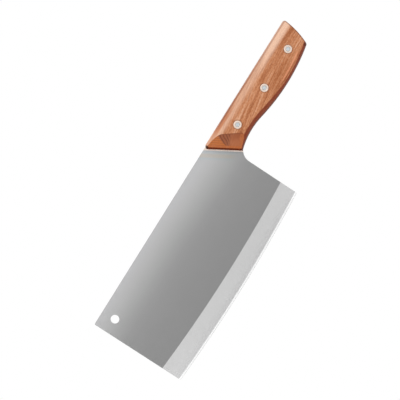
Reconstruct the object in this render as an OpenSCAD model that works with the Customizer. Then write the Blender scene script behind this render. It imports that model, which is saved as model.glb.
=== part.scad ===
// Chinese vegetable cleaver: a thin, tall blade with a full tang, two wooden
// scales and three two-part rivets.
// X runs from the toe to the butt, Z from the edge up to the spine, and Y
// through the thickness. Z = 0 is the lowest point of the edge, X = 0 the
// middle of the whole length and Y = 0 the middle of the blade's thickness.

/* [Blade] */
// Length of the edge, from toe corner to heel corner
blade_l = 183.5; // [170:0.5:200]
// Height of the blade, from the lowest point of the edge to the spine
blade_h = 88.5; // [84:0.5:94]
// Thickness of the blade between its two cheeks
blade_t = 2.0; // [1.6:0.1:2.2]
// How far the toe leans forward towards the edge, in degrees
toe_lean = 0.8; // [0:0.1:3]
// How far the heel leans forward towards the edge, in degrees
heel_lean = 1.5; // [0:0.1:3]
// Radius of the toe's corner at the spine
toe_corner_r = 1.2; // [0.5:0.1:3]
// Radius of the hollow between the heel and the handle
neck_r = 11; // [9:0.5:14]

/* [Edge] */
// Radius of the edge's long curve
edge_r = 1300; // [1000:10:2000]
// Lowest point of the edge, measured from the toe
edge_low_x = 88; // [80:1:98]
// Thickness left at the very edge
edge_t = 0.1; // [0.06:0.02:0.2]
// Height of the narrow sharpened strip along the edge
strip_h = 1.7; // [1.2:0.1:2.2]
// Thickness of the blade where the sharpened strip starts
strip_t = 0.9; // [0.8:0.05:1]
// Height of the ground bevel, at the lowest point of its curve
bevel_h = 17; // [15:0.5:19]
// Radius of the line where the ground bevel starts
bevel_r = 1250; // [1000:10:1600]
// Lowest point of that line, measured from the toe
bevel_low_x = 102; // [92:1:112]

/* [Hanging hole] */
// Radius of the hanging hole
hang_r = 3.6; // [2.5:0.1:5]
// Distance of the hole from the toe
hang_x = 14; // [12:0.5:24]
// Distance of the hole below the spine
hang_drop = 12.25; // [10:0.25:20]

/* [Tang] */
// Thickness of the tang, which is not ground as the cheeks are
tang_t = 2.2; // [2.2:0.1:3]
// Width of the unground land that shows ahead of the wood
land_w = 1.6; // [1:0.1:2.6]
// How far the tang stays inside the wood's outline
tang_inset = 0.2; // [0.1:0.05:0.5]
// How far the blade's spine runs in under the wood
spine_run = 3.5; // [2:0.1:6]

/* [Handle] */
// Length of the handle along its top
handle_l = 126.9; // [120:0.1:140]
// How far the handle reaches over the blade, ahead of the heel corner
handle_lap = 10.4; // [9:0.1:12]
// Height of the handle's top above the spine
handle_step = 0.75; // [0.5:0.05:1.2]
// Slant of the handle's front end, in degrees from upright
front_lean = 29.5; // [26:0.5:32]
// Radius of the front end's corner at the top
front_corner_r = 2.6; // [1:0.1:4]
// Height of the handle at its belly
belly_h = 30.8; // [29:0.1:34]
// Place of the belly's lowest point, from the handle's top front corner
belly_x = 83.9; // [78:0.1:90]
// Radius of the belly
belly_r = 178; // [165:1:195]
// Height of the handle at its waist, behind the front end
waist_h = 26; // [25:0.1:28]
// Radius of the waist
waist_r = 66; // [58:1:74]
// Radius of the butt's end face
butt_r = 70; // [55:1:100]
// Lean of the butt just below its top corner, in degrees
butt_lean = 5; // [3:0.1:9]
// Radius of the butt's top corner
top_corner_r = 2.2; // [1.5:0.1:5]
// Radius of the butt's lower corner
low_corner_r = 2.5; // [2:0.1:4]

/* [Scales] */
// Thickness of one wooden scale
scale_t = 9; // [8.5:0.1:11]
// Rounding of the scale along the top of the handle
top_round = 6.8; // [6:0.1:8]
// Rounding of the scale along the waist and the belly
belly_round = 6.5; // [4:0.1:7]
// Rounding of the scale round the butt
butt_round = 2; // [1:0.1:3]
// Radius of the drum that hollows the front of the scale
hollow_r = 40; // [30:1:80]
// Depth of the hollow below the scale's flat face
hollow_deep = 2.2; // [1:0.1:4]
// Slant of the hollow's crease, in degrees from upright
hollow_lean = 36.5; // [30:0.5:42]
// Distance of that crease from the handle's top front corner, along the top
crease_x = 13.6; // [11:0.1:15]

/* [Rivets] */
// Distance of the first rivet from the handle's top front corner
rivet_x = 32.4; // [30:0.1:36]
// Distance from one rivet to the next
rivet_pitch = 37.85; // [34:0.05:40]
// Depth of each rivet below the handle's top, from the front to the butt
rivet_drops = [13.8, 16.4, 16.0];
// Radius of the rivets' heads
head_r = 3.5; // [3:0.05:4.2]
// Thickness of the rivets' heads
head_t = 1.6; // [1:0.1:2.5]
// Outer radius of a rivet cup's barrel
cup_r = 2.5; // [2.3:0.05:2.8]
// Radius of a rivet stud's shank, inside the cup
stud_r = 1.85; // [1.4:0.05:2]
// Play between the rivets and what they go through
rivet_play = 0.02; // [0.01:0.01:0.05]
// Gap between a cup's end and the stud's head
rivet_gap = 0.3; // [0.1:0.1:1]
// How far the stud's end stays below the cup's face
stud_sink = 0.15; // [0.05:0.05:0.4]

/* [Hidden] */
$fn = 96;

// How finely the very large circles of the edge and the bevel are drawn
long_fn = 720;
// How finely the drum that hollows the scales is drawn
drum_fn = 180;
// Half the angle of those circles that the blade takes up
sweep = 15;
// Steps along the arcs of the handle's outline, and up the scales' rounding
corner_steps = 6;
butt_steps = 7;
belly_steps = 16;
waist_steps = 12;
neck_steps = 10;
round_steps = 10;
// Smallest radius that a corner keeps in the rounding
least_r = 0.8;
// How far cutting shapes run past what they cut
over = 1;
// The same for the bevel, whose curve is not the edge's own
bevel_over = 5;

front_x = blade_l - handle_lap;
overall_l = front_x + handle_l;
handle_z = blade_h + handle_step;
half_t = tang_t / 2 + scale_t;
edge_c = [edge_low_x, edge_r];
bevel_c = [bevel_low_x, bevel_h + bevel_r];
toe_z = edge_r - sqrt(edge_r * edge_r - edge_low_x * edge_low_x);
heel_z = edge_r - sqrt(edge_r * edge_r - pow(blade_l - edge_low_x, 2));

// Centres of the handle's arcs, as [x, z] with x from the toe
belly_c = [front_x + belly_x, handle_z - belly_h + belly_r];
waist_z = handle_z - waist_h - waist_r;
waist_run = sqrt(pow(belly_r + waist_r, 2) - pow(belly_c.y - waist_z, 2));
waist_c = [belly_c.x - waist_run, waist_z];
butt_c = [overall_l - top_corner_r, handle_z - top_corner_r]
    + (butt_r - top_corner_r) * [-cos(butt_lean), sin(butt_lean)];

// Centre of the hollow between the heel and the tang: it touches the heel's
// line and, from within, the waist of the tang
heel_up = [sin(heel_lean), cos(heel_lean)];
heel_out = [cos(heel_lean), -sin(heel_lean)];
neck_reach = waist_r + tang_inset - neck_r;
neck_from = [blade_l, heel_z] + neck_r * heel_out - waist_c;
neck_climb = -neck_from * heel_up
    + sqrt(pow(neck_from * heel_up, 2) - neck_from * neck_from + neck_reach * neck_reach);
neck_c = waist_c + neck_from + neck_climb * heel_up;

// The blade's thickness outwards from the bevel's centre: parallel cheeks, then the bevel
bevel_taper = (blade_t - strip_t) / 2 / (bevel_h - strip_h);
bevel_run = bevel_h + bevel_over;
cheek_halves = [
    [bevel_r - 2 * blade_h, blade_t / 2],
    [bevel_r, blade_t / 2],
    [bevel_r + bevel_run, blade_t / 2 - bevel_run * bevel_taper]
];
// The same for the sharpened strip, which stays clear of the plate further in
strip_taper = (strip_t - edge_t) / 2 / strip_h;
strip_halves = [
    [edge_r - 2 * blade_h, tang_t],
    [edge_r - (tang_t - edge_t / 2) / strip_taper, tang_t],
    [edge_r, edge_t / 2]
];

// The part of the plate that keeps the tang's thickness: all that lies
// behind a line along the handle's front end, land_w ahead of it
land_top = [front_x, handle_z] - land_w * [cos(front_lean), sin(front_lean)];
land_down = [sin(front_lean), -cos(front_lean)];
tang_side = [
    land_top - over * land_down,
    [overall_l + over, handle_z + over],
    [overall_l + over, 0],
    land_top + handle_z / cos(front_lean) * land_down
];

// Distance of the hollow's deepest line from its crease
hollow_w = sqrt(hollow_r * hollow_r - pow(hollow_r - hollow_deep, 2));

function heading(v) = atan2(v.y, v.x);

function on_circle(c, r, a) = c + r * [cos(a), sin(a)];

// An arc's points without the last one, which the next stretch starts with
function arc(c, r, from, to, steps) =
    [for (i = [0:steps - 1]) on_circle(c, r, from + (to - from) * i / steps)];

// Where two circles cross, on the left-hand side going from the first centre to the second
function crossing(c1, r1, c2, r2) =
    let (gap = c2 - c1, d = norm(gap), along = (d * d + r1 * r1 - r2 * r2) / (2 * d))
    let (off = sqrt(r1 * r1 - along * along), u = gap / d)
    c1 + along * u + off * [-u.y, u.x];

// Centre of the butt's top corner, for an outline drawn in from the top and the butt
function top_corner(top_in, butt_in, r) =
    let (z = handle_z - top_in - r)
    [butt_c.x + sqrt(pow(butt_r - butt_in - r, 2) - pow(z - butt_c.y, 2)), z];

// The handle's outline from its top, round the butt and along the belly,
// drawn in by its own amount on each of the three
function grip_arcs(top_in, belly_in, butt_in) =
    let (r1 = max(top_corner_r - top_in, least_r), c1 = top_corner(top_in, butt_in, r1))
    let (r2 = max(low_corner_r - belly_in, least_r))
    let (c2 = crossing(belly_c, belly_r - belly_in - r2, butt_c, butt_r - butt_in - r2))
    let (a1 = heading(c1 - butt_c), a2 = heading(c2 - butt_c), a3 = heading(c2 - belly_c))
    concat(
        arc(c1, r1, 90, a1, corner_steps),
        arc(butt_c, butt_r - butt_in, a1, a2, butt_steps),
        arc(c2, r2, a2, a3, corner_steps),
        arc(belly_c, belly_r - belly_in, a3, heading(waist_c - belly_c), belly_steps)
    );

// The waist, from where it joins the belly to the given heading
function waist_arc(belly_in, to) =
    arc(waist_c, waist_r + belly_in, heading(belly_c - waist_c), to, waist_steps);

// Where the slanted front end meets the waist, drawn in by belly_in
function front_foot(belly_in) =
    let (down = [sin(front_lean), -cos(front_lean)], from = [front_x, handle_z] - waist_c)
    let (b = from * down, r = waist_r + belly_in)
    waist_c + from + (-b - sqrt(b * b - from * from + r * r)) * down;

// The front end's corner, up to the top, drawn in by top_in
function front_corner(top_in) =
    let (r = max(front_corner_r - top_in, least_r), side = tan(45 + front_lean / 2))
    let (c = [front_x + top_in * tan(front_lean) + r * side, handle_z - top_in - r])
    concat(arc(c, r, 180 + front_lean, 90, corner_steps), [c + [0, r]]);

function scale_outline(top_in, belly_in, butt_in) = concat(
    front_corner(top_in),
    grip_arcs(top_in, belly_in, butt_in),
    waist_arc(belly_in, heading(front_foot(belly_in) - waist_c)),
    [front_foot(belly_in)]
);

// The steel's outline, run down past the edge, which the grinding cuts off
steel_outline = concat(
    [[-tan(toe_lean) * (toe_z + over), -over]],
    arc(
        [tan(toe_lean) * (blade_h - toe_z) + toe_corner_r, blade_h - toe_corner_r],
        toe_corner_r, 180 - toe_lean, 90, corner_steps
    ),
    [
        [tan(toe_lean) * (blade_h - toe_z) + toe_corner_r, blade_h],
        [front_x + spine_run, blade_h],
        [front_x + spine_run, handle_z - tang_inset]
    ],
    grip_arcs(tang_inset, tang_inset, tang_inset),
    waist_arc(tang_inset, heading(neck_c - waist_c)),
    arc(neck_c, neck_r, heading(neck_c - waist_c), 180 - heel_lean, neck_steps),
    [neck_c - neck_r * heel_out, [blade_l, heel_z] - heel_up * (heel_z + over)]
);

// How far a rounding of radius r has drawn in at depth d below the flat face
function drawn_in(r, d) = d < r ? r - sqrt(r * r - pow(r - d, 2)) : 0;

// Turns a shape's own Z to -Y, so that an outline drawn in X and Y stands up
module upright() {
    rotate([90, 0, 0])
        children();
}

// Moves what is drawn from the toe to the middle of the whole length
module from_toe() {
    translate([-overall_l / 2, 0, 0])
        children();
}

module plate(outline, t) {
    upright()
        linear_extrude(t, center = true)
            polygon(outline);
}

// A solid turned about a far centre, from [radius, half thickness] pairs
module ground(c, halves) {
    translate([c.x, 0, c.y])
        upright()
            rotate([0, 0, 270 - sweep])
                rotate_extrude(angle = 2 * sweep, $fn = long_fn)
                    polygon(concat(
                        [for (p = halves) [p.x, -p.y]],
                        [for (i = [len(halves) - 1:-1:0]) halves[i]]
                    ));
}

module hole(x, z, r) {
    translate([x, 0, z])
        upright()
            cylinder(r = r, h = 3 * half_t, center = true);
}

// Puts what is drawn round Z on one rivet's axis, with Z towards the left scale
module at_rivet(i) {
    translate([front_x + rivet_x + i * rivet_pitch, 0, handle_z - rivet_drops[i]])
        upright()
            children();
}

// The blade and its tang are one plate: the cheeks and the bevel are ground
// a little thinner than the tang, and the edge has a narrow sharpened strip
module blade() {
    color([0.74, 0.74, 0.75])
        from_toe()
            difference() {
                union() {
                    intersection() {
                        plate(steel_outline, tang_t);
                        ground(bevel_c, cheek_halves);
                        ground(edge_c, strip_halves);
                    }
                    upright()
                        linear_extrude(tang_t, center = true)
                            intersection() {
                                polygon(steel_outline);
                                polygon(tang_side);
                            }
                }
                hole(hang_x, blade_h - hang_drop, hang_r);
                for (i = [0:len(rivet_drops) - 1])
                    at_rivet(i)
                        cylinder(r = cup_r + rivet_play, h = 3 * half_t, center = true);
            }
}

// A solid through a stack of outlines, drawn at the given places along -Y.
// Its two ends are fans round a point that sees the whole outline.
module stack(outlines, places, middle) {
    n = len(outlines[0]);
    last = len(outlines) - 1;
    first_mid = (last + 1) * n;
    polyhedron(
        points = concat(
            [for (k = [0:last]) for (p = outlines[k]) [p.x, -places[k], p.y]],
            [for (k = [0, last]) [middle.x, -places[k], middle.y]]
        ),
        faces = concat(
            [for (i = [0:n - 1]) [first_mid, (i + 1) % n, i]],
            [for (i = [0:n - 1]) [first_mid + 1, last * n + i, last * n + (i + 1) % n]],
            [for (k = [0:last - 1]) for (i = [0:n - 1])
                [k * n + i, k * n + (i + 1) % n, (k + 1) * n + (i + 1) % n]],
            [for (k = [0:last - 1]) for (i = [0:n - 1])
                [k * n + i, (k + 1) * n + (i + 1) % n, (k + 1) * n + i]]
        )
    );
}

// The scale on the -Y side: flat against the tang, rounded round its outer
// face, hollowed at the front and drilled in steps for the rivets
module wooden_scale() {
    depths = concat(
        [scale_t],
        [for (i = [0:round_steps]) top_round * (1 - sin(90 * i / round_steps))]
    );
    color([0.72, 0.42, 0.25])
        from_toe()
            difference() {
                stack(
                    [for (d = depths) scale_outline(
                        drawn_in(top_round, d), drawn_in(belly_round, d), drawn_in(butt_round, d)
                    )],
                    [for (d = depths) half_t - d],
                    [waist_c.x, handle_z - waist_h / 2]
                );
                translate([front_x + crease_x, hollow_deep - hollow_r - half_t, handle_z])
                    rotate([0, -hollow_lean, 0])
                        translate([-hollow_w, 0, 0])
                            cylinder(r = hollow_r, h = 2 * handle_z, center = true, $fn = drum_fn);
                for (i = [0:len(rivet_drops) - 1])
                    at_rivet(i) {
                        cylinder(r = cup_r + rivet_play, h = 3 * half_t, center = true);
                        translate([0, 0, half_t - head_t])
                            cylinder(r = head_r + rivet_play, h = head_t + over);
                    }
            }
}

module left_scale() {
    wooden_scale();
}

module right_scale() {
    mirror([0, 1, 0])
        wooden_scale();
}

// The half that shows as a bright ring: a head on a bored barrel
module rivet_cup(i) {
    color([0.93, 0.91, 0.88])
        from_toe()
            at_rivet(i)
                difference() {
                    union() {
                        translate([0, 0, half_t - head_t])
                            cylinder(r = head_r, h = head_t);
                        translate([0, 0, head_t + rivet_gap - half_t])
                            cylinder(r = cup_r, h = 2 * (half_t - head_t) - rivet_gap);
                    }
                    cylinder(r = stud_r + rivet_play, h = 3 * half_t, center = true);
                }
}

// The half that is driven in from the other side: its end shows in the ring
module rivet_stud(i) {
    color([0.66, 0.72, 0.78])
        from_toe()
            at_rivet(i)
                translate([0, 0, -half_t]) {
                    cylinder(r = head_r, h = head_t);
                    cylinder(r = stud_r, h = 2 * half_t - stud_sink);
                }
}

module front_rivet_cup() {
    rivet_cup(0);
}

module middle_rivet_cup() {
    rivet_cup(1);
}

module rear_rivet_cup() {
    rivet_cup(2);
}

module front_rivet_stud() {
    rivet_stud(0);
}

module middle_rivet_stud() {
    rivet_stud(1);
}

module rear_rivet_stud() {
    rivet_stud(2);
}

blade();
left_scale();
right_scale();
front_rivet_cup();
middle_rivet_cup();
rear_rivet_cup();
front_rivet_stud();
middle_rivet_stud();
rear_rivet_stud();
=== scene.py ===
import math

import bmesh
import bpy
from mathutils import Matrix, Vector


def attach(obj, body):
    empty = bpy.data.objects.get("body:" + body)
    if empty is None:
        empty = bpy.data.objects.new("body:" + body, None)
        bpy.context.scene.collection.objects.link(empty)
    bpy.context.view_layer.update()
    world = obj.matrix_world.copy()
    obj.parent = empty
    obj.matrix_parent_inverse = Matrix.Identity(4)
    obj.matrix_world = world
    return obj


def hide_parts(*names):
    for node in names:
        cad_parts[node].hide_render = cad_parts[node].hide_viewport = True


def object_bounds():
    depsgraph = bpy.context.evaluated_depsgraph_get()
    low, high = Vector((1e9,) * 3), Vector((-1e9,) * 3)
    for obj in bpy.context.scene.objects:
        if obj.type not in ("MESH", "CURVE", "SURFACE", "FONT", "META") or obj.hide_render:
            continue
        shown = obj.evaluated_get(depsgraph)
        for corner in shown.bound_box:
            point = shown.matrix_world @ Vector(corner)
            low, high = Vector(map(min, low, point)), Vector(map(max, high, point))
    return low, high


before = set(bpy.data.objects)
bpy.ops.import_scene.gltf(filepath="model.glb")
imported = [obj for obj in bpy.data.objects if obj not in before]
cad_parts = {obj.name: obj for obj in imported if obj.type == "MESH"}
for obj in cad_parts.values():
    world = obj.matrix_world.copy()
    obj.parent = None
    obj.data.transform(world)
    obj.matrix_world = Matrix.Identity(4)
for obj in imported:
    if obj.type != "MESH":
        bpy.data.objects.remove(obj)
cad_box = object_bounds()

# The blade and its tang are one sheet of stainless steel, cut out, punched for hanging and ground to
# a satin on both cheeks. It is bevelled finer towards the edge and sharpened to a bright narrow
# strip. The tang keeps the sheet's thickness and is riveted between the two scales. The cheek's
# gradient, the bevel's paler grey, the strip's brightness, the land's beige and the handle's
# reflection are painted light.

MM = 0.001


def tone(red, green, blue):
    """A colour as a paint chart gives it, turned into the light it throws back."""
    def light(c):
        c /= 255
        return c / 12.92 if c <= 0.04045 else ((c + 0.055) / 1.055) ** 2.4
    return (light(red), light(green), light(blue), 1)


def grey(level):
    return tone(level, level, level)


class Wire:
    """One output of a node. Arithmetic on it adds Math nodes."""

    def __init__(self, graph, socket):
        self.graph = graph
        self.socket = socket

    def out(self, name):
        return Wire(self.graph, self.socket.node.outputs[name])

    def maths(self, operation, *others):
        return self.graph.node("Math", {"operation": operation}, dict(enumerate((self, *others))))

    def __add__(self, other):
        return self.maths("ADD", other)

    def __sub__(self, other):
        return self.maths("SUBTRACT", other)

    def __rsub__(self, other):
        return (self * -1) + other

    def __mul__(self, other):
        return self.maths("MULTIPLY", other)

    def __truediv__(self, other):
        return self.maths("DIVIDE", other)

    def __abs__(self):
        return self.maths("ABSOLUTE")

    __radd__ = __add__
    __rmul__ = __mul__

    def ramp(self, start, end, low=0, high=1):
        """Eases from low to high as this goes from start to end, and stays there."""
        return self.graph.node(
            "MapRange", {"interpolation_type": "SMOOTHSTEP"},
            {"Value": self, "From Min": start, "From Max": end, "To Min": low, "To Max": high},
        )

    def wave(self):
        """Swings between -1 and 1, once while this grows by 1."""
        return (2 * math.pi * self).maths("SINE")


class Graph:
    """A node tree, with the one method that adds nodes to it."""

    def __init__(self, tree):
        self.tree = tree
        tree.nodes.clear()

    def node(self, kind, settings=None, sockets=None, out=0):
        made = self.tree.nodes.new("ShaderNode" + kind)
        for name, value in (settings or {}).items():
            if name == "stops":
                while len(made.color_ramp.elements) < len(value):
                    made.color_ramp.elements.new(0.5)
                for element, (place, colour) in zip(made.color_ramp.elements, value):
                    element.position = place
                    element.color = colour
            else:
                setattr(made, name, value)
        for name, value in (sockets or {}).items():
            if isinstance(value, Wire):
                self.tree.links.new(value.socket, made.inputs[name])
            else:
                made.inputs[name].default_value = value
        return Wire(self, made.outputs[out]) if made.outputs else None

    def blend(self, share, first, second, how="MIX"):
        """A colour from first, at share 0, to second, at share 1."""
        # the Mix node takes its two colours in sockets 6 and 7, and gives the mixed one from output 2
        return self.node(
            "Mix", {"data_type": "RGBA", "blend_type": how},
            {"Factor": share, 6: first, 7: second}, out=2,
        )

    def shades(self, share, *stops):
        """A colour that runs through the stops, each a place and its colour, as the share grows."""
        return self.node("ValToRGB", {"stops": stops}, {"Fac": share})

    def bump(self, height, depth):
        """Relief of that depth in metres, where height goes from 0 to 1."""
        return self.node("Bump", {}, {"Strength": 1, "Distance": depth, "Height": height})


class Finish(Graph):
    """A material, worked out from a point's place on the object."""

    def __init__(self, name):
        self.material = bpy.data.materials.new(name)
        self.material.use_nodes = True
        super().__init__(self.material.node_tree)
        self.place = self.node("TexCoord", out="Object")
        self.x = self.node("SeparateXYZ", {}, {"Vector": self.place})
        self.y = self.x.out("Y")
        self.z = self.x.out("Z")

    def stretched(self, scale, at=None):
        """Places scaled along each axis, for a pattern that runs one way."""
        return self.node("VectorMath", {"operation": "MULTIPLY"}, {0: at or self.place, 1: scale})

    def noise(self, at, scale=1, detail=3, roughness=0.55):
        return self.node("TexNoise", {}, {
            "Vector": at, "Scale": scale, "Detail": detail, "Roughness": roughness,
        })

    def apart(self, axes, point):
        """How far a place, given by some of its axes, is from that point."""
        here = self.node("CombineXYZ", {}, axes)
        return self.node("VectorMath", {"operation": "DISTANCE"}, {0: here, 1: point}, out="Value")

    def distance(self, point):
        """How far a point of the surface is from that point, as seen from the side."""
        return self.apart({"X": self.x, "Z": self.z}, point)

    def behind(self, top, lean):
        """How far a point of the surface lies behind a line with that top and that lean."""
        return (self.x - top[0]) * math.cos(lean) + (self.z - top[1]) * math.sin(lean)

    def surface(self, **sockets):
        shader = self.node("BsdfPrincipled", {}, {
            name.replace("_", " "): value for name, value in sockets.items()
        })
        self.node("OutputMaterial", {}, {"Surface": shader})


def whole_faces(node):
    """A copy of a CAD node's mesh, with its loose triangles joined into whole faces."""
    bm = bmesh.new()
    bm.from_mesh(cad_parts[node].data)
    bmesh.ops.remove_doubles(bm, verts=bm.verts, dist=0.002 * MM)
    bmesh.ops.dissolve_limit(bm, angle_limit=math.radians(0.2), verts=bm.verts, edges=bm.edges)
    return bm


def finished(bm, name, node, finish, crease=35):
    """Makes the mesh a piece in the CAD node's place, sharp where it turns by more than the crease."""
    for face in bm.faces:
        face.smooth = True
    for edge in bm.edges:
        edge.smooth = len(edge.link_faces) == 2 and edge.calc_face_angle() < math.radians(crease)
    mesh = bpy.data.meshes.new(name)
    bm.to_mesh(mesh)
    bm.free()
    piece = bpy.data.objects.new(name, mesh)
    bpy.context.scene.collection.objects.link(piece)
    mesh.materials.append(finish.material)
    even = piece.modifiers.new("even_shading", "WEIGHTED_NORMAL")
    even.keep_sharp = True
    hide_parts(node)
    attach(piece, "root")


BEVEL_CENTRE = (-48 * MM, 0, 1267 * MM)
BEVEL_R = 1250 * MM
EDGE_CENTRE = (-62 * MM, 0, 1300 * MM)
EDGE_R = 1300 * MM
STRIP = 1.7 * MM
BURR = 0.6 * MM
CHEEK_TOP = 88 * MM
CHEEK_HALF = 1.0 * MM
LAND = 1.3 * MM
REFLECTION = 10 * MM
# the wood's slanted front end starts at the top of the handle and runs back as it goes down
FRONT_TOP = (23.1 * MM, cad_box[1][2])
FRONT_LEAN = math.radians(29.5)
CORNER = 0.15 * MM
CORNER_TURN = math.radians(60)
THIN = 0.6 * MM

steel = Finish("satin_blade_steel")
from_edge_centre = steel.distance(EDGE_CENTRE)
bevel = steel.distance(BEVEL_CENTRE).ramp(BEVEL_R - 0.15 * MM, BEVEL_R + 0.15 * MM)
strip = from_edge_centre.ramp(EDGE_R - STRIP - 0.1 * MM, EDGE_R - STRIP + 0.1 * MM)
burr = from_edge_centre.ramp(EDGE_R - BURR, EDGE_R - 0.5 * BURR)
# the thicker tang shows as a narrow land ahead of the wood, painted pale beige as a highlight
ahead = -1 * steel.behind(FRONT_TOP, FRONT_LEAN)
thick = abs(steel.y).ramp(CHEEK_HALF + 0.02 * MM, CHEEK_HALF + 0.08 * MM)
land = thick * ahead.ramp(LAND, LAND - 0.4 * MM)
# the grinding marks run from the spine to the edge: so many to a metre along each axis
grind = steel.noise(steel.stretched((5200, 900, 90)), detail=2)
cloud = steel.noise(steel.place, scale=26, detail=4)
# painted light: the cheek is painted darkest low down and brighter towards the spine, as a softbox
# above would light it, a little sooner near the handle
height = steel.z / CHEEK_TOP + 0.02 * cloud + steel.x.ramp(-60 * MM, 20 * MM, -0.01, 0.03)
cheek = steel.shades(
    height,
    (0.25, grey(146)),
    (0.43, grey(147)),
    (0.60, grey(151)),
    (0.675, grey(155.5)),
    (0.75, grey(164.5)),
    (0.825, grey(174)),
    (0.90, grey(183)),
    (0.985, tone(191, 191, 192)),
)
# painted reflection: the handle's front end is painted faintly into the satin beside it, warm between
# two cool bands
painted_reflection = steel.shades(
    ahead / REFLECTION,
    (0.16, tone(247, 253, 255)),
    (0.32, tone(248, 253, 255)),
    (0.46, tone(255, 248, 238)),
    (0.64, tone(255, 249, 240)),
    (0.78, tone(244, 252, 255)),
    (0.95, grey(253)),
)
cheek_and_reflection = steel.blend(steel.z.ramp(60 * MM, 68 * MM), cheek, painted_reflection, "MULTIPLY")
# painted light: the bevel is painted paler than the cheek, as the bright floor it reflects, a little
# darker towards the handle; its finer grind shows in the roughness
lit_bevel = steel.blend(steel.x.ramp(-150 * MM, 34 * MM), grey(214), grey(208))
# painted highlight: the sharpened strip is painted near-white and mostly not metal, a little greyer at
# the very edge
strip_highlight = steel.blend(burr, grey(254), grey(226))
worked = steel.blend(strip, steel.blend(bevel, cheek_and_reflection, lit_bevel), strip_highlight)
# the land's pale beige below is a painted highlight
steel.surface(
    Base_Color=steel.blend(land, worked, tone(240, 224, 212)),
    Metallic=1 - 0.75 * strip,
    Roughness=0.36 + 0.05 * grind - 0.10 * bevel - 0.04 * strip,
    Normal=steel.bump(grind, 0.004 * MM),
)


def through(face):
    """How far a face reaches through the sheet, from one side to the other."""
    ys = [vert.co.y for vert in face.verts]
    return max(ys) - min(ys)


def square_corner(edge):
    """Whether the edge is a square corner of the sheet, clear of the sharpened strip."""
    if len(edge.link_faces) != 2 or edge.calc_face_angle() <= CORNER_TURN:
        return False
    if min(abs(vert.co.y) for vert in edge.verts) <= 0.5 * THIN:
        return False
    return any(through(face) > THIN for face in edge.link_faces)


bm = whole_faces("blade")
bmesh.ops.bevel(
    bm, geom=[edge for edge in bm.edges if square_corner(edge)], offset=CORNER, offset_type="OFFSET",
    segments=2, profile=0.5, affect="EDGES", clamp_overlap=True, material=-1,
)
finished(bm, "ground_blade", "blade", steel)

# The wooden scales are two halves of a dense red-brown hardwood, sawn from one board and shaped as a
# pair. A drum wheel hollows their front ends. They are riveted to the tang, oiled and rubbed to a
# soft gloss, and the end grain drinks more oil and stays darker. The belly, the hollow and the very
# top are painted darker as shade, and the upper rounding is painted paler as a highlight.

HALF_THICK = cad_box[1][1]
BUTT_CENTRE = (80.26 * MM, 0, 92.96 * MM)
BUTT_R = 70 * MM
CREASE_TOP = (36.7 * MM, FRONT_TOP[1])
CREASE_LEAN = math.radians(36.5)
HOLLOW_DEPTH = 2.2 * MM
DRUM_R = 40 * MM
# the drum's axis, from the crease and the handle's middle plane: the drum's cut ends at the crease
DRUM_AXIS = (
    -math.sqrt(DRUM_R ** 2 - (DRUM_R - HOLLOW_DEPTH) ** 2),
    HALF_THICK + DRUM_R - HOLLOW_DEPTH,
    0,
)
BOARD_HEART = (0, 14 * MM, 30 * MM)
RING_GAP = 1.9 * MM
VEIN_GAP = 4.2 * MM
HEAD_R = 3.5 * MM


def seen_middle(node):
    """The middle of a CAD node's box, as seen from the side."""
    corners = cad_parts[node].bound_box
    return (sum(c[0] for c in corners) / len(corners), 0, sum(c[2] for c in corners) / len(corners))


RIVETS = {which: seen_middle(f"{which}_rivet_cup") for which in ("front", "middle", "rear")}


def from_rivet(finish):
    """How far a point of the surface is from the middle of the nearest rivet."""
    nearest = finish.distance(RIVETS["front"])
    for which in ("middle", "rear"):
        nearest = nearest.maths("MINIMUM", finish.distance(RIVETS[which]))
    return nearest


wood = Finish("oiled_hardwood")
depth = abs(wood.y)
behind_front = wood.behind(FRONT_TOP, FRONT_LEAN)
past_butt = wood.distance(BUTT_CENTRE) - BUTT_R
past_crease = wood.behind(CREASE_TOP, CREASE_LEAN)
from_drum = wood.apart({"X": past_crease, "Y": depth}, DRUM_AXIS)
hollow = from_drum.ramp(DRUM_R + 0.06 * MM, DRUM_R + 0.02 * MM)
off_hollow = 1 - hollow

# the grain climbs towards the butt, steeply at the front and hardly at the end
GRAIN_CLIMB = 0.32
layers = wood.z - GRAIN_CLIMB * wood.x + wood.x * wood.x
grain = wood.node("CombineXYZ", {}, {"X": wood.x, "Y": wood.y, "Z": layers})


def along_grain(scale, detail, roughness=0.55):
    """Spots drawn out along the grain: so many to a metre along it, through it and across it."""
    return wood.noise(wood.stretched(scale, grain), detail=detail, roughness=roughness)


broad = along_grain((16, 110, 190), 3, 0.5)
streak = along_grain((45, 480, 700), 2)
fleck = along_grain((420, 1000, 1200), 2, 0.6)
fibre = along_grain((80, 1400, 1900), 3, 0.65)
pores = along_grain((240, 4200, 4200), 1)
bent = along_grain((16, 60, 70), 2)
figure = wood.shades(
    0.34 * broad + 0.36 * streak + 0.3 * fleck - wood.x.ramp(60 * MM, 115 * MM, 0, 0.035),
    (0.39, tone(158, 92, 52)),
    (0.47, tone(182, 117, 78)),
    (0.53, tone(196, 134, 95)),
    (0.61, tone(212, 159, 126)),
)
veins = (layers / VEIN_GAP + 2.2 * bent).wave().ramp(0.6, 1)
patches = wood.noise(wood.place, scale=90).ramp(0.35, 0.6)
veined = wood.blend(0.4 * veins * patches, figure, tone(138, 76, 44))
pored = wood.blend(0.4 * pores.ramp(0.64, 0.74), veined, tone(104, 54, 34))

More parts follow.
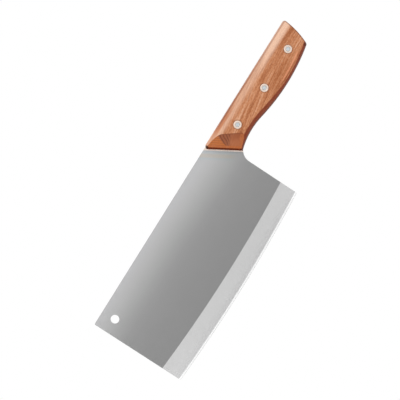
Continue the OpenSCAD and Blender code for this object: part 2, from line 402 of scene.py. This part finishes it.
# the hollow cuts across the grain: orange along the front end, with fine dark
# lines at the top, then darker with fanned rings, and plain red-brown below. Its colours are
# darker than the flat face as painted shade, darker still towards the crease, with a painted
# shade line along it; the orange stripe along the front end is a painted highlight
FRONT_BAND = 3.9 * MM
FAN_FOOT = (20 * MM, 50 * MM)
FAN_RINGS = 9
RINGS_FROM = (37.0 * MM, 80 * MM)
wander = wood.noise(wood.place, scale=70, detail=2)
lines = (behind_front / RING_GAP + 0.8 * wander).wave()
fine_lines = 0.4 * lines.ramp(-0.2, 0.9) * wood.z.ramp(73 * MM, 77 * MM)
orange = wood.blend(fine_lines, tone(181, 99, 42), tone(104, 50, 24))
fan = (wood.x - FAN_FOOT[0]) / (wood.z - FAN_FOOT[1]) * FAN_RINGS
rings = (fan + 1.6 * wander).wave().ramp(-0.5, 0.9)
ringed = wood.blend(rings, tone(142, 77, 48), tone(106, 50, 30))
into_rings = wood.x - RINGS_FROM[0] - 0.35 * (wood.z - RINGS_FROM[1]) + (wander - 0.5) * (3 * MM)
top_of_hollow = wood.blend(into_rings.ramp(-0.6 * MM, 0.6 * MM), orange, ringed)
# painted shade: the plain lower hollow darkens towards the crease
foot_of_hollow = wood.blend(past_crease.ramp(-8 * MM, -2 * MM), tone(164, 94, 58), tone(148, 79, 46))
upper = (wood.z - 0.5 * (wood.x - 39 * MM)).ramp(71.3 * MM, 74.3 * MM)
plain = wood.blend(upper, foot_of_hollow, top_of_hollow)
# painted highlight: an orange stripe along the front end, and a like orange stripe along the lower
# edge
front_highlight = behind_front.ramp(FRONT_BAND, FRONT_BAND - 0.8 * MM)
lower_band = (wood.z - 0.57 * (wood.x - 41.5 * MM)).ramp(65.1 * MM, 64.1 * MM)
striped = wood.blend(front_highlight.maths("MAXIMUM", 0.7 * lower_band), plain, tone(173, 92, 43))
# painted shade: a dark line along the crease
crease_shaded = wood.blend(0.5 * past_crease.ramp(-1.4 * MM, -0.7 * MM), striped, tone(118, 60, 36))
# the hollow takes these colours, darker than the flat face as painted shade
hollowed = wood.blend(0.85 * hollow, pored, crease_shaded)

# painted highlight: the upper rounding is painted pale, but the top edge stays red at the front, and
# painted shade darkens the very top
highlight_along = wood.x.ramp(48 * MM, 68 * MM, 0.44, 0.36) + wood.x.ramp(95 * MM, 130 * MM, 0, 0.32)
highlight_back = wood.z.ramp(80.2 * MM, 84.4 * MM) * off_hollow * highlight_along
red_along = wood.x.ramp(80 * MM, 50 * MM) * wood.x.ramp(34 * MM, 46 * MM, 0.3, 0.8)
red_back = wood.z.ramp(84.8 * MM, 86.4 * MM) * off_hollow * red_along
top_shade_along = wood.x.ramp(32 * MM, 56 * MM) * wood.x.ramp(56 * MM, 135 * MM, 0.85, 0.5)
top_shade = wood.z.ramp(87.0 * MM, 88.0 * MM) * top_shade_along
highlighted = wood.blend(highlight_back, hollowed, tone(245, 208, 182))
reddened = wood.blend(red_back, highlighted, tone(184, 108, 66))
top_lit = wood.blend(top_shade, reddened, tone(146, 82, 48))

# painted shade: the belly's dark edge narrows towards the butt in a slow wave, with a painted
# highlight line along it there, and the underside is painted darker still
WAVE_START = 36.5 * MM
WAVE_LENGTH = 62 * MM
WAVE_HEIGHT = 0.28 * MM
NARROWING = 0.0135
low = wood.z.ramp(70 * MM, 67 * MM) * off_hollow
edge_wave = ((wood.x - WAVE_START) / WAVE_LENGTH).wave()
shaded_to = depth + NARROWING * (wood.x - 70 * MM) + WAVE_HEIGHT * edge_wave
belly = low * shaded_to.ramp(9.65 * MM, 9.3 * MM)
lit_across = depth.ramp(9.5 * MM, 9.75 * MM) * depth.ramp(10.06 * MM, 9.96 * MM)
lit_along = wood.x.ramp(100 * MM, 112 * MM) * wood.x.ramp(138 * MM, 128 * MM)
# painted shade: the underside of the belly is darker still
underside = low * depth.ramp(8 * MM, 5.5 * MM)
belly_highlight = wood.blend(0.6 * low * lit_across * lit_along, top_lit, tone(232, 156, 118))
edged = wood.blend(0.88 * belly, belly_highlight, tone(119, 41, 10))
under_shaded = wood.blend(0.6 * underside, edged, tone(66, 26, 14))

# the sawn ends show the board's rings, and the front end and a line round the butt are darkened,
# nearly black at the front
from_heart = wood.apart({"Y": wood.y, "Z": wood.z}, BOARD_HEART)
year_rings = (from_heart / RING_GAP + 1.2 * wander).wave().ramp(-0.4, 0.9)
open_pores = 0.4 * pores.ramp(0.5, 0.7)
end_grain = wood.blend(0.6 * year_rings + open_pores, tone(186, 120, 80), tone(122, 68, 42))
sawn = wood.blend(past_butt.ramp(-0.7 * MM, -0.1 * MM), under_shaded, end_grain)
front_end = behind_front.ramp(2.0 * MM, 1.3 * MM)
ends = front_end.maths("MAXIMUM", 0.5 * past_butt.ramp(-1.2 * MM, -0.4 * MM))
darkest_ends = wood.blend(0.95 * ends, sawn, wood.blend(year_rings, tone(94, 31, 2), tone(72, 22, 0)))

# painted shade darkens the front's upper corner, and the butt's lower corner and the rim of each
# rivet's hole are dark as well
FRONT_CORNER = (26.0 * MM, 0, 87.5 * MM)
BUTT_CORNER = (142.4 * MM, 0, 63.0 * MM)
front_corner = wood.distance(FRONT_CORNER).ramp(1.8 * MM, 0.9 * MM) * depth.ramp(3 * MM, 6 * MM)
butt_corner = wood.distance(BUTT_CORNER).ramp(2.4 * MM, 1.0 * MM)
dark_corners = (0.9 * front_corner).maths("MAXIMUM", 0.55 * butt_corner)
joint = from_rivet(wood).ramp(HEAD_R + 1.3 * MM, HEAD_R + 0.2 * MM)
dark_cornered = wood.blend(dark_corners, darkest_ends, tone(50, 18, 0))
wood.surface(
    Base_Color=wood.blend(0.3 * joint, dark_cornered, tone(96, 48, 28)),
    Roughness=0.42 + 0.16 * fibre,
    Specular_IOR_Level=0.1,
    Coat_Weight=0.2 - 0.2 * ends,
    Coat_Roughness=0.3,
    Normal=wood.bump(fibre + 0.6 * pores, 0.03 * MM),
)

for side in ("left", "right"):
    scale = whole_faces(f"{side}_scale")
    finished(scale, f"{side}_wooden_scale", f"{side}_scale", wood, crease=22)

# The rivets are three pairs that hold the handle together. A cup, which shows as a bright ring, goes
# in from the left, and a stud is driven into its barrel from the right. Both heads are ground flush
# with the wood and buffed.

HEAD_T = 1.6 * MM
BARREL_R = 2.5 * MM
BORE_R = 1.88 * MM
BARREL_END = 18.2 * MM
SHANK_R = 1.85 * MM


def rounded(*points):
    """A rounded part of a profile: its points' radius and depth below the wood, given in mm."""
    return [(radius * MM, below * MM) for radius, below in points]


CUP = [
    (BORE_R, BARREL_END),
    *rounded((1.88, 0.30), (2.05, 0.10), (2.35, 0.04), (2.9, 0.02)),
    *rounded((3.25, 0.05), (3.44, 0.14), (3.5, 0.28)),
    (HEAD_R, HEAD_T),
    (BARREL_R, HEAD_T),
    (BARREL_R, BARREL_END),
]
STUD = [
    *rounded((0, 0.02), (1.6, 0.03), (2.6, 0.06), (3.25, 0.12), (3.44, 0.22), (3.5, 0.36)),
    (HEAD_R, HEAD_T),
    (SHANK_R, HEAD_T),
    *rounded((1.85, 19.8), (1.7, 19.98), (1.2, 20.04), (0, 20.05)),
]

ring = Finish("buffed_rivet_metal")
turning = ring.noise(ring.place, scale=900, detail=3)
buffed = ring.blend(turning, tone(221, 202, 189), tone(233, 216, 203))
rim = from_rivet(ring).ramp(HEAD_R - 0.2 * MM, HEAD_R - 0.05 * MM)
ring.surface(
    Base_Color=ring.blend(0.3 * rim, buffed, tone(150, 126, 106)),
    Metallic=0.85,
    Roughness=0.34 + 0.12 * turning,
    Normal=ring.bump(turning, 0.01 * MM),
)
core = Finish("satin_stud_metal")
scuffs = core.noise(core.place, scale=1100, detail=3)
core.surface(
    Base_Color=core.blend(scuffs, tone(191, 196, 198), tone(201, 206, 208)),
    Metallic=0.85,
    Roughness=0.38 + 0.14 * scuffs,
    Normal=core.bump(scuffs, 0.012 * MM),
)


def turned(profile, at, side, closed):
    """A turned piece: its profile is pairs of radius and depth below the wood on that side."""
    bm = bmesh.new()
    verts = [bm.verts.new((at[0] + r, side * (HALF_THICK - d), at[2])) for r, d in profile]
    pairs = list(zip(verts, verts[1:]))
    if closed:
        pairs.append((verts[-1], verts[0]))
    edges = [bm.edges.new(pair) for pair in pairs]
    bmesh.ops.spin(
        bm, geom=verts + edges, cent=at, axis=(0, 1, 0), dvec=(0, 0, 0),
        angle=2 * math.pi, steps=64, use_merge=True, use_duplicate=False,
    )
    bmesh.ops.remove_doubles(bm, verts=bm.verts, dist=0.001 * MM)
    bmesh.ops.recalc_face_normals(bm, faces=bm.faces)
    return bm


for which, at in RIVETS.items():
    cup = turned(CUP, at, side=-1, closed=True)
    finished(cup, f"{which}_rivet_ring", f"{which}_rivet_cup", ring)
    stud = turned(STUD, at, side=1, closed=False)
    finished(stud, f"{which}_rivet_core", f"{which}_rivet_stud", core)

# The studio is a plain pale floor under the edge, two long softboxes above, one on each side, and a
# camera that looks square at the left cheek and is rolled as the photograph is. A white tent stands
# all round, brighter overhead, and is plain white where the camera sees it.

FLOOR_HALF = 2.5
SOFTBOX_OUT = 0.7
SOFTBOX_UP = 0.42
SOFTBOX_SIZE = (1.0, 0.3)
SOFTBOX_POWER = 1.2
LIT_MIDDLE = Vector((0, 0, 0.08))
VIEW_WIDTH = 333.2 * MM
VIEW_MIDDLE = (-14.27 * MM, 68.77 * MM)
CAMERA_OUT = 1.4
TENT_LIGHT = 0.6
OVERHEAD_LIGHT = 0.62
ROLL = math.radians(58)

sheet = bmesh.new()
bmesh.ops.create_grid(sheet, x_segments=8, y_segments=8, size=FLOOR_HALF)
mesh = bpy.data.meshes.new("floor")
sheet.to_mesh(mesh)
sheet.free()
floor = bpy.data.objects.new("floor", mesh)
bpy.context.scene.collection.objects.link(floor)
pale = Finish("pale_floor")
mottle = pale.noise(pale.place, scale=14, detail=3)
pale.surface(
    Base_Color=pale.blend(mottle, grey(248), grey(251)),
    Roughness=0.8,
)
mesh.materials.append(pale.material)

for side, out in (("left", -SOFTBOX_OUT), ("right", SOFTBOX_OUT)):
    lamp = bpy.data.lights.new(f"{side}_softbox", "AREA")
    lamp.shape = "RECTANGLE"
    lamp.size = SOFTBOX_SIZE[0]
    lamp.size_y = SOFTBOX_SIZE[1]
    lamp.energy = SOFTBOX_POWER
    softbox = bpy.data.objects.new(f"{side}_softbox", lamp)
    softbox.location = (0, out, SOFTBOX_UP)
    softbox.rotation_mode = "QUATERNION"
    softbox.rotation_quaternion = (softbox.location - LIT_MIDDLE).to_track_quat("Z", "Y")
    softbox.visible_camera = False
    bpy.context.scene.collection.objects.link(softbox)

world = bpy.data.worlds.new("studio")
world.use_nodes = True
bpy.context.scene.world = world
studio = Graph(world.node_tree)
seen = studio.node("LightPath", out="Is Camera Ray")
up = studio.node("SeparateXYZ", {}, {"Vector": studio.node("TexCoord", out="Generated")}, out="Z")
lit = TENT_LIGHT + OVERHEAD_LIGHT * up.ramp(0, 1)
tent = studio.node("Background", {}, {"Color": (1, 1, 1, 1), "Strength": lit})
white = studio.node("Background", {}, {"Color": (1, 1, 1, 1), "Strength": 1})
studio.node("OutputWorld", {}, {
    "Surface": studio.node("MixShader", {}, {0: seen, 1: tent, 2: white}),
})

camera = bpy.data.objects.new("camera", bpy.data.cameras.new("camera"))
bpy.context.scene.collection.objects.link(camera)
bpy.context.scene.camera = camera
camera.data.type = "ORTHO"
camera.data.ortho_scale = VIEW_WIDTH
camera.matrix_world = Matrix((
    (math.cos(ROLL), math.sin(ROLL), 0, VIEW_MIDDLE[0]),
    (0, 0, -1, -CAMERA_OUT),
    (-math.sin(ROLL), math.cos(ROLL), 0, VIEW_MIDDLE[1]),
    (0, 0, 0, 1),
))
bpy.context.scene.view_settings.view_transform = "Standard"
